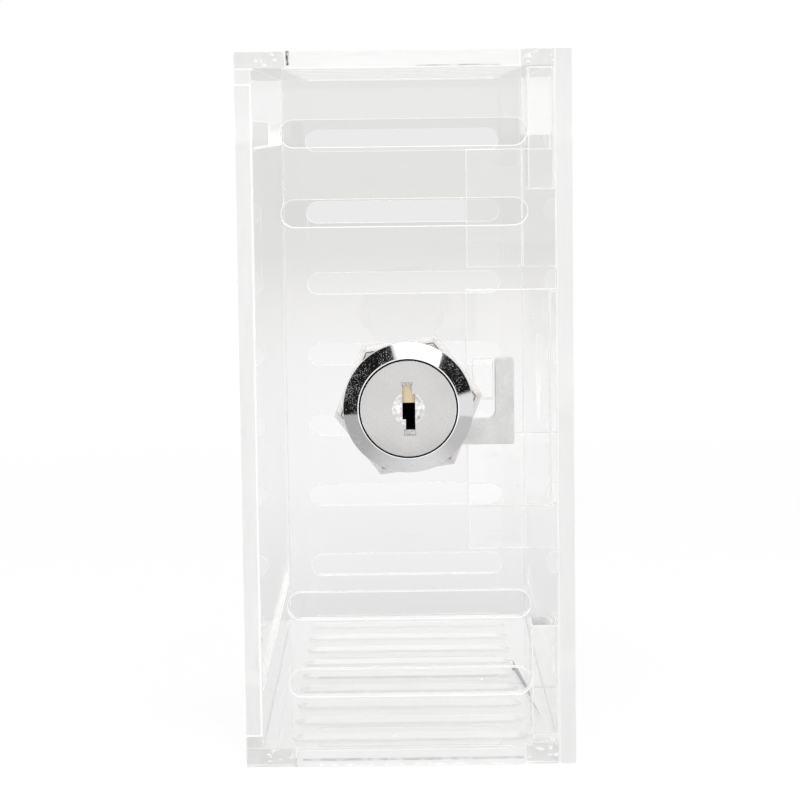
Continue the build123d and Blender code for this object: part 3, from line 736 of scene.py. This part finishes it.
def floor_material(colour):
    """A pale floor that reads as white to the eye and keeps shadows; through the sheets it shows fixed tones of
    painted shadow, light and shade.
    """
    material = bpy.data.materials.new("pale_floor")
    tree, output = node_tree(material)
    place = add(tree, "ShaderNodeTexCoord").outputs["Object"]
    away = add(tree, "ShaderNodeVectorMath", {0: place}, operation="LENGTH").outputs["Value"]
    parts = add(tree, "ShaderNodeSeparateXYZ", {0: place}).outputs
    matt = diffuse(tree, blended(tree, noise(tree, place, 3.0), share(colour), share(colour, 0.985)))
    behind = floor_behind_glass(tree, away)
    cards = floor_cards(tree, parts["Y"], parts["X"], away)
    path = add(tree, "ShaderNodeLightPath").outputs
    inside = mixed(tree, path["Is Glossy Ray"], matt, behind)
    plain = mixed(tree, first_bounce(tree, path), inside, cards)
    through = mixed(tree, path["Is Transmission Ray"], plain, behind)
    lit = mixed(tree, path["Is Camera Ray"], through, floor_as_seen(tree, place, away))
    tree.links.new(lit, output.inputs["Surface"])
    return material


def dark_cards(tree, direction):
    """1 on the dark cards that stand round the lock axis, by the clock angle of a direction."""
    round_axis = calculated_vector(tree, "MULTIPLY", direction, (0, 1, 1))
    round_axis = calculated_vector(tree, "NORMALIZE", round_axis)
    cards = []
    for middle, half in DARK_CARDS:
        centre = (0, cos(radians(middle)), sin(radians(middle)))
        toward = add(tree, "ShaderNodeVectorMath", {0: round_axis, 1: centre}, operation="DOT_PRODUCT")
        edge = cos(radians(half))
        cards.append(card_edge(tree, toward.outputs["Value"], edge - 0.012, edge + 0.012))
    return calculated(tree, "MAXIMUM", *cards)


def studio_world(strength):
    """Soft light from all round, white behind the box save a grey wedge of painted shade, and cards for the metal
    to reflect.
    """
    world = bpy.data.worlds.new("studio")
    world.use_nodes = True
    tree = world.node_tree
    tree.nodes.clear()
    output = tree.nodes.new("ShaderNodeOutputWorld")
    white = (1, 1, 1)
    direction = add(tree, "ShaderNodeTexCoord").outputs["Generated"]
    parts = add(tree, "ShaderNodeSeparateXYZ", {0: direction}).outputs
    path = add(tree, "ShaderNodeLightPath").outputs
    dark = calculated(tree, "MULTIPLY", dark_cards(tree, direction), card_band(tree, parts["X"]))
    dark = calculated(tree, "MULTIPLY", dark, first_bounce(tree, path, depth=2.5))
    front = card_edge(tree, parts["X"], 0.8, 0.9)
    plain = between(tree, dark, WHITE_CARD, BLACK_CARD)
    level = add(tree, "ShaderNodeMix", {"Factor": front, 2: plain, 3: FRONT_CARD}).outputs[0]
    bright = add(tree, "ShaderNodeMix", {"Factor": front, 2: WHITE_CARD, 3: FRONT_CARD}).outputs[0]
    room, cards = background(tree, white, strength), background(tree, white, level)
    inner = mixed(tree, path["Is Glossy Ray"], room, cards)
    turned_back = calculated(tree, "GREATER_THAN", path["Glossy Depth"], 0.5)
    # Painted shade: rays through clear sheet that have not been mirrored meet a grey far backdrop.
    far = background(tree, FAR_BEHIND_GLASS, 1.0)
    beyond = mixed(tree, turned_back, far, background(tree, white, bright))
    glass = mixed(tree, path["Is Transmission Ray"], inner, beyond)
    # Painted shade: camera rays straight behind the box see a grey wedge instead of the white backdrop.
    low = card_edge(tree, parts["Z"], 0.008, 0.005)
    painted_backdrop_shade = calculated(tree, "MULTIPLY", painted_backdrop_shade_mask(tree, parts["X"], parts["Y"], -0.7), low)
    seen = mixed(tree, painted_backdrop_shade, background(tree, white, BACKDROP), background(tree, white, PAINTED_BACKDROP_SHADE))
    outer = mixed(tree, path["Is Camera Ray"], glass, seen)
    tree.links.new(outer, output.inputs["Surface"])
    return world


# ---------------------------------------------------------------- flaws
def open_joints(near, inner, top, bottom):
    """Thin ragged slabs where a joint between two sheets has no glue or shows as a shade."""
    skin = near - 0.05 * MM
    gaps = (
        ("upper_open_joint", inner, (-47.68, -47.26), (top - 2.4 * MM, top - 0.06 * MM), "open_joint"),
        ("lower_open_joint", inner, (-47.92, -47.78), (bottom + 0.08 * MM, bottom + 1.6 * MM), "joint_shade"),
        ("lower_tab_shade", skin, (-46.7, -9.0), (bottom + 1.0 * MM, bottom + 1.4 * MM), "joint_shade"),
        ("upper_tab_shade", skin, (-26.0, -12.0), (top - 2.75 * MM, top - 2.6 * MM), "joint_shade"),
    )
    for name, back, (left, right), (low, high), finish in gaps:
        gap = cube(name, (back, left * MM, low), (near + 0.008 * MM, right * MM, high))
        activate(gap)
        edit_all()
        bpy.ops.mesh.subdivide(number_cuts=6)
        bpy.ops.transform.vertex_random(offset=0.05 * MM, uniform=0.6, seed=4)
        bpy.ops.object.mode_set(mode="OBJECT")
        finish_flaw(gap, finish)


def bubble_spots(chance, near, inner, bottom):
    """Where air is caught in the corners' glue and along the bottom joint, and how large each bubble is."""
    corners = [(y, z) for y in ((-53.0, -47.8), (-8.2, -2.9)) for z in ((58.2, 60.25), (-60.25, -58.2))]
    spots = []
    for (left, right), (low, high) in corners:
        for _ in range(9):
            at = (inner + chance.uniform(-0.02, 0.02) * MM, chance.uniform(left, right) * MM,
                  chance.uniform(low, high) * MM)
            spots.append((at, (0.02, chance.uniform(0.15, 0.7), chance.uniform(0.1, 0.45))))
    for _ in range(46):
        at = (near + 0.004 * MM, chance.uniform(-46.5, -9.2) * MM, bottom + chance.uniform(0.16, 0.32) * MM)
        spots.append((at, (0.015, chance.uniform(0.15, 0.6), chance.uniform(0.06, 0.14))))
    return spots


def dust_spots(chance):
    """Where dust lies on both faces of the sheets, and how large each speck is."""
    margin, sunk = 4 * MM, 0.02 * MM
    spots = []
    for node, count in DUST_COUNTS.items():
        low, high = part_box(node)
        thin = min(range(3), key=lambda i: high[i] - low[i])
        for _ in range(count):
            at = [chance.uniform(low[i] + margin, high[i] - margin) for i in range(3)]
            at[thin] = chance.choice((low[thin] + sunk, high[thin] - sunk))
            size = chance.uniform(0.05, 0.13)
            spots.append((at, [0.018 if i == thin else size * chance.uniform(0.7, 1.6) for i in range(3)]))
    return spots


# ---------------------------------------------------------------- operators
class LOCKBOX_OT_materials(bpy.types.Operator):
    """Makes the shared effects and every finish of the lock box"""

    bl_idname = "lockbox.materials"
    bl_label = "Make Finishes"

    def execute(self, context):
        acrylic, lock = context.scene.lockbox_acrylic, context.scene.lockbox_lock
        for group in (handling_group, turning_group, grain_group, pit_group, streak_group):
            group()
        # Painted light: the glow given below makes a finish shine though it is no lamp, faintly on the faces and
        # more on the cut edges, slot walls and chamfers, as painted highlights along the edges.
        clear_material("clear_acrylic_face", acrylic.tint, 0.0, 40.0, 0.004, glow=0.012)
        # Painted shade: the left panel's face is a darker copy of the clear face, without its glow.
        clear_material("clear_acrylic_grey_face", acrylic.painted_shade_tint, 0.0, 40.0, 0.004)
        clear_material("clear_acrylic_cut_edge", acrylic.edge_tint, acrylic.edge_roughness, 90.0, 0.05,
                       clear=0.4, glow=0.09, streaks=0.08)
        clear_material("clear_acrylic_slot_wall", (0.97, 0.97, 0.96), 0.25, 90.0, 0.05, clear=0.4, glow=0.12)
        clear_material("clear_acrylic_chamfer", (0.99, 0.99, 0.985), 0.5, 90.0, 0.05, clear=0.1, glow=0.25)
        metal_material("bezel_chrome", lock.chrome, 0.96, 0.06, 300.0, bump=0.02, pits=0.7)
        metal_material("brushed_plug_face", lock.plug_face, 0.95, 0.25, 260.0, rings=3.0, bump=0.45,
                       grain=0.16)
        metal_material("rough_cast_metal", (0.85, 0.85, 0.85), 0.5, 0.35, 900.0, bump=2.0, grain=0.6)
        metal_material("polished_dish", (0.95, 0.95, 0.95), 0.3, 0.12, 1400.0, bump=0.6, grain=0.3)
        metal_material("nickel_plate", lock.nickel, 0.9, 0.12, 300.0, bump=0.1, stain=(0.87, 0.84, 0.82),
                       metallic=0.5)
        metal_material("worn_nickel_edge", (0.17, 0.11, 0.08), 0.6, 0.3, 500.0, bump=0.3,
                       stain=(0.62, 0.53, 0.46), metallic=0.8)
        # Painted shade: a near-black finish for the keyway, the bore and the recess round the plug's head, where
        # shade falls.
        metal_material("blackened_keyway", (0.03, 0.03, 0.03), 0.6, 0.6, 500.0, bump=0.2)
        metal_material("zinc_plate", lock.zinc, 0.88, 0.4, 260.0, bump=0.8, grain=0.2)
        metal_material("stamped_brass", lock.brass, 0.85, 0.28, 500.0, bump=0.2)
        metal_material("spring_wire", (0.55, 0.55, 0.57), 0.9, 0.25, 800.0)
        matt_material("open_joint", (0.02, 0.018, 0.016), (0.16, 0.13, 0.1), 1800.0)
        matt_material("joint_shade", (0.66, 0.66, 0.67), (0.88, 0.88, 0.89), 700.0)
        # Painted light: the bubbles of air in the glue are real, their glow is painted light that keeps their
        # unlit sides from going dark.
        matt_material("air_in_glue", (0.97, 0.97, 0.97), (0.88, 0.88, 0.89), 900.0, glow=0.3)
        # Painted light: the dust specks are real, their glow of 0.3 is painted light.
        matt_material("dust", (0.97, 0.97, 0.96), (0.9, 0.9, 0.89), 2500.0, glow=0.3)
        return {"FINISHED"}


class LOCKBOX_OT_sheets(bpy.types.Operator):
    """Breaks the edges of every clear sheet and block and frosts their cut faces, which with the chamfers carry a
    painted glow
    """

    bl_idname = "lockbox.sheets"
    bl_label = "Dress Clear Sheets"

    def execute(self, context):
        width = context.scene.lockbox_acrylic.edge_break
        for node in SHEETS:
            piece = copy_of(node, f"clear_{node}")
            low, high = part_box(node)
            size = high - low
            thin = min(range(3), key=lambda i: size[i])
            # Painted shade: the left panel takes the darker copy of the face finish.
            face = "grey_face" if node == "left_panel" else "face"
            # Painted light: the cut edges, slot walls and chamfers take finishes with a painted glow.
            finishes = (face, "cut_edge", "slot_wall", "chamfer")
            finish_piece(piece, node, *(f"clear_acrylic_{finish}" for finish in finishes))
            for polygon in piece.data.polygons:
                across = abs(polygon.normal[thin]) > 0.5
                inset = min(min(polygon.center[i] - low[i], high[i] - polygon.center[i])
                            for i in range(3) if i != thin)
                if across or node in POLISHED:
                    finish = face
                else:
                    finish = "slot_wall" if inset > FINGER_DEPTH else "cut_edge"
                polygon.material_index = finishes.index(finish)
            soften(piece, width, finish=finishes.index("chamfer"))
            lay_along_and_across(piece, thin)
        return {"FINISHED"}


class LOCKBOX_OT_lock_body(bpy.types.Operator):
    """Turns the bezel and barrel, files the two flats and adds the stop lug"""

    bl_idname = "lockbox.lock_body"
    bl_label = "Make Bezel and Barrel"

    def execute(self, context):
        lock = context.scene.lockbox_lock
        outline = bezel_outline(lock.lip_radius, lock.bezel_radius) + barrel_outline(lock.thread_depth)
        body = turned("bezel_and_barrel", outline, closed=True)
        file_flats(body, -18.0 * MM, PANEL_GAP)
        cut(body, cube("channel", at_lock(-WAFER_ROOM, -7.1 * MM, -11.95 * MM),
                       at_lock(WAFER_ROOM, 7.1 * MM, PANEL_GAP)))
        cut(body, stop_lug(), "UNION")
        smooth(body, 38)
        finish_piece(body, "lock_body", "bezel_chrome", "blackened_keyway")
        # Painted shade: the recess round the plug's head and the bore take the near-black finish.
        for polygon in body.data.polygons:
            at = polygon.center - AXIS
            radius = (at.y ** 2 + at.z ** 2) ** 0.5
            recess = radius < RECESS_RADIUS + 0.05 * MM and MM < at.x < 2.95 * MM
            polygon.material_index = int(recess or radius < BORE_RADIUS + 0.3 * MM)
        return {"FINISHED"}


class LOCKBOX_OT_plug(bpy.types.Operator):
    """Turns the plug, dishes its face and cuts the keyway, the wafer slots and the tail"""

    bl_idname = "lockbox.plug"
    bl_label = "Make Plug"

    def execute(self, context):
        lock = context.scene.lockbox_lock
        plug = turned("keyed_plug", plug_outline(lock.plug_radius, lock.dish_radius))
        cut(plug, cube("tail", at_lock(-3.5 * MM, -3.5 * MM, -20.4 * MM),
                       at_lock(3.5 * MM, 3.5 * MM, -16.9 * MM)), "UNION")
        broach(plug, "keyway", KEYWAY_STEPS, KEYWAY_END)
        broach(plug, "broach_mark", BROACH_MARKS, BROACH_FLOOR)
        for index in range(WAFER_SLOTS):
            middle = WAFER_START - WAFER_PITCH * index
            back, front = middle - 0.55 * MM, middle + 0.55 * MM
            cut(plug, cube("wafer_slot", at_lock(-WAFER_ROOM, -7.0 * MM, back),
                           at_lock(WAFER_ROOM, 7.0 * MM, front)))
            cut(plug, cube("spring_pocket", at_lock(0, -4.0 * MM, back),
                           at_lock(3.35 * MM, 1.35 * MM, front)))
        deselect()
        bpy.ops.mesh.primitive_cylinder_add(vertices=32, radius=2.0 * MM, depth=5.45 * MM,
                                            location=AXIS + Vector((-18.275 * MM, 0, 0)),
                                            rotation=(0, radians(90), 0))
        cut(plug, named("screw_hole"))
        smooth(plug, 30)
        finishes = ("brushed_plug_face", "blackened_keyway", "rough_cast_metal", "polished_dish")
        finish_piece(plug, "lock_plug", *finishes)
        for polygon in plug.data.polygons:
            at = polygon.center - AXIS
            sunk = at.x < PLUG_FRONT - 0.01 * MM
            if sunk and at.x > 2.3 * MM and polygon.normal.x > 0.5:
                finish = "rough_cast_metal" if abs(at.z) > 3.4 * MM else "polished_dish"
                polygon.material_index = finishes.index(finish)
            # Painted shade: the keyway's walls and the hollows inside the plug take the near-black finish.
            inside = abs(at.y) < 5.5 * MM and (at.y ** 2 + at.z ** 2) ** 0.5 < 5.9 * MM
            wall = abs(polygon.normal.x) < 0.3
            if inside and (-16 * MM < at.x < 2.3 * MM or (wall and sunk)):
                polygon.material_index = finishes.index("blackened_keyway")
        return {"FINISHED"}


class LOCKBOX_OT_nut(bpy.types.Operator):
    """Makes the hexagon nut with its chamfered corners and bore"""

    bl_idname = "lockbox.nut"
    bl_label = "Make Nut"

    def execute(self, context):
        across = context.scene.lockbox_lock.nut_flats / 2
        deselect()
        bpy.ops.mesh.primitive_cylinder_add(vertices=6, radius=across / cos(radians(30)),
                                            depth=NUT_FRONT - NUT_BACK, rotation=(0, radians(90), 0))
        nut = named("hexagon_nut")
        seat(nut)
        first = max(nut.data.vertices, key=lambda v: v.co.y).co
        nut.rotation_euler = (NUT_TURN - atan2(first.z, first.y), 0, 0)
        nut.location = AXIS + Vector(((NUT_BACK + NUT_FRONT) / 2, 0, 0))
        seat(nut)
        finish_piece(nut, "lock_nut", "nickel_plate", "worn_nickel_edge")
        round_corners(nut)
        ring_ends(nut)
        cut(nut, turned("bore", [(9.9 * MM, NUT_BACK - 0.3 * MM), (NUT_BORE, NUT_BACK + 0.15 * MM),
                                 (NUT_BORE, NUT_FRONT - 0.15 * MM), (9.9 * MM, NUT_FRONT + 0.3 * MM)]))
        smooth(nut, 20)
        return {"FINISHED"}


class LOCKBOX_OT_cam_stack(bpy.types.Operator):
    """Rounds the edges of the stop washer, the cam, its washer and its screw"""

    bl_idname = "lockbox.cam_stack"
    bl_label = "Dress Cam and Washers"

    def execute(self, context):
        width = context.scene.lockbox_lock.metal_edge
        for node in ("stop_washer", "cam", "cam_washer", "cam_screw"):
            piece = copy_of(node, f"plated_{node}")
            soften(piece, width)
            finish_piece(piece, node, "zinc_plate")
        return {"FINISHED"}


class LOCKBOX_OT_small_parts(bpy.types.Operator):
    """Gives the wafers and springs their finishes"""

    bl_idname = "lockbox.small_parts"
    bl_label = "Finish Wafers and Springs"

    def execute(self, context):
        for node, piece in frame["nodes"].items():
            if node.startswith("wafer"):
                name = "spring_wire" if node == "wafer_springs" else "stamped_brass"
                piece.data.materials.clear()
                piece.data.materials.append(bpy.data.materials[name])
        return {"FINISHED"}


class LOCKBOX_OT_flaws(bpy.types.Operator):
    """Leaves unfilled gaps and air bubbles in the glued joints, and dust on the sheets; the bubbles and the dust
    carry a painted glow
    """

    bl_idname = "lockbox.flaws"
    bl_label = "Add Joint Flaws and Dust"

    def execute(self, context):
        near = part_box("lock_panel")[1].x
        top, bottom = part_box("top_panel")[1].z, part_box("bottom_panel")[0].z
        inner = near - (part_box("top_panel")[1].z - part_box("top_panel")[0].z)
        open_joints(near, inner, top, bottom)
        chance = Random(11)
        finish_flaw(blobs("glue_bubbles", bubble_spots(chance, near, inner, bottom)), "air_in_glue")
        finish_flaw(blobs("dust", dust_spots(chance)), "dust")
        return {"FINISHED"}


class LOCKBOX_OT_stage(bpy.types.Operator):
    """Lays the floor and sets the room light, the lamps and the camera"""

    bl_idname = "lockbox.stage"
    bl_label = "Set Stage"

    def execute(self, context):
        stage = context.scene.lockbox_stage
        deselect()
        bpy.ops.mesh.primitive_plane_add(size=60.0, location=(0, 0, CAD_BOX[0].z - 0.2 * MM))
        floor = named("studio_floor")
        floor.data.materials.append(floor_material(stage.floor_colour))
        context.scene.world = studio_world(stage.world_light)
        for name, place, size, part in LAMPS:
            bpy.ops.object.light_add(type="AREA", location=place)
            lamp = named(name)
            lamp.data.size = size
            lamp.data.energy = stage.key_power * part
            lamp.visible_transmission = False
            lamp.visible_glossy = name == "key_lamp"
            lamp.rotation_mode = "QUATERNION"
            lamp.rotation_quaternion = (LAMP_TARGET - Vector(place)).to_track_quat("-Z", "Y")
        bpy.ops.object.camera_add()
        camera = named("camera")
        camera.matrix_world = Matrix.Translation(CAMERA_PLACE) @ Matrix(CAMERA_AXES).transposed().to_4x4()
        camera.data.lens = 121.736
        camera.data.sensor_width = 36.0
        camera.data.clip_start, camera.data.clip_end = 0.01, 50.0
        context.scene.camera = camera
        context.scene.view_settings.view_transform = "Standard"
        return {"FINISHED"}


class LOCKBOX_PT_panel(bpy.types.Panel):
    """Buttons for each group of pieces and their settings"""

    bl_idname = "LOCKBOX_PT_panel"
    bl_label = "Lock Box"
    bl_space_type = "VIEW_3D"
    bl_region_type = "UI"
    bl_category = "Lock Box"

    def draw(self, context):
        for operator in OPERATORS:
            self.layout.operator(operator.bl_idname)
        for group in (context.scene.lockbox_acrylic, context.scene.lockbox_lock, context.scene.lockbox_stage):
            box = self.layout.box()
            for name in group.bl_rna.properties.keys():
                if name not in {"rna_type", "name"}:
                    box.prop(group, name)


OPERATORS = (
    LOCKBOX_OT_materials,
    LOCKBOX_OT_sheets,
    LOCKBOX_OT_lock_body,
    LOCKBOX_OT_plug,
    LOCKBOX_OT_nut,
    LOCKBOX_OT_cam_stack,
    LOCKBOX_OT_small_parts,
    LOCKBOX_OT_flaws,
    LOCKBOX_OT_stage,
)
SETTINGS = (AcrylicSettings, LockSettings, StageSettings)


def register():
    for kind in SETTINGS + OPERATORS + (LOCKBOX_PT_panel,):
        bpy.utils.register_class(kind)
    bpy.types.Scene.lockbox_acrylic = bpy.props.PointerProperty(type=AcrylicSettings)
    bpy.types.Scene.lockbox_lock = bpy.props.PointerProperty(type=LockSettings)
    bpy.types.Scene.lockbox_stage = bpy.props.PointerProperty(type=StageSettings)


def unregister():
    del bpy.types.Scene.lockbox_stage, bpy.types.Scene.lockbox_lock, bpy.types.Scene.lockbox_acrylic
    for kind in reversed(SETTINGS + OPERATORS + (LOCKBOX_PT_panel,)):
        bpy.utils.unregister_class(kind)


def main():
    register()
    bpy.ops.lockbox.materials()
    bpy.ops.lockbox.sheets()
    bpy.ops.lockbox.lock_body()
    bpy.ops.lockbox.plug()
    bpy.ops.lockbox.nut()
    bpy.ops.lockbox.cam_stack()
    bpy.ops.lockbox.small_parts()
    bpy.ops.lockbox.flaws()
    bpy.ops.lockbox.stage()
    deselect()


if __name__ == "__main__":
    main()
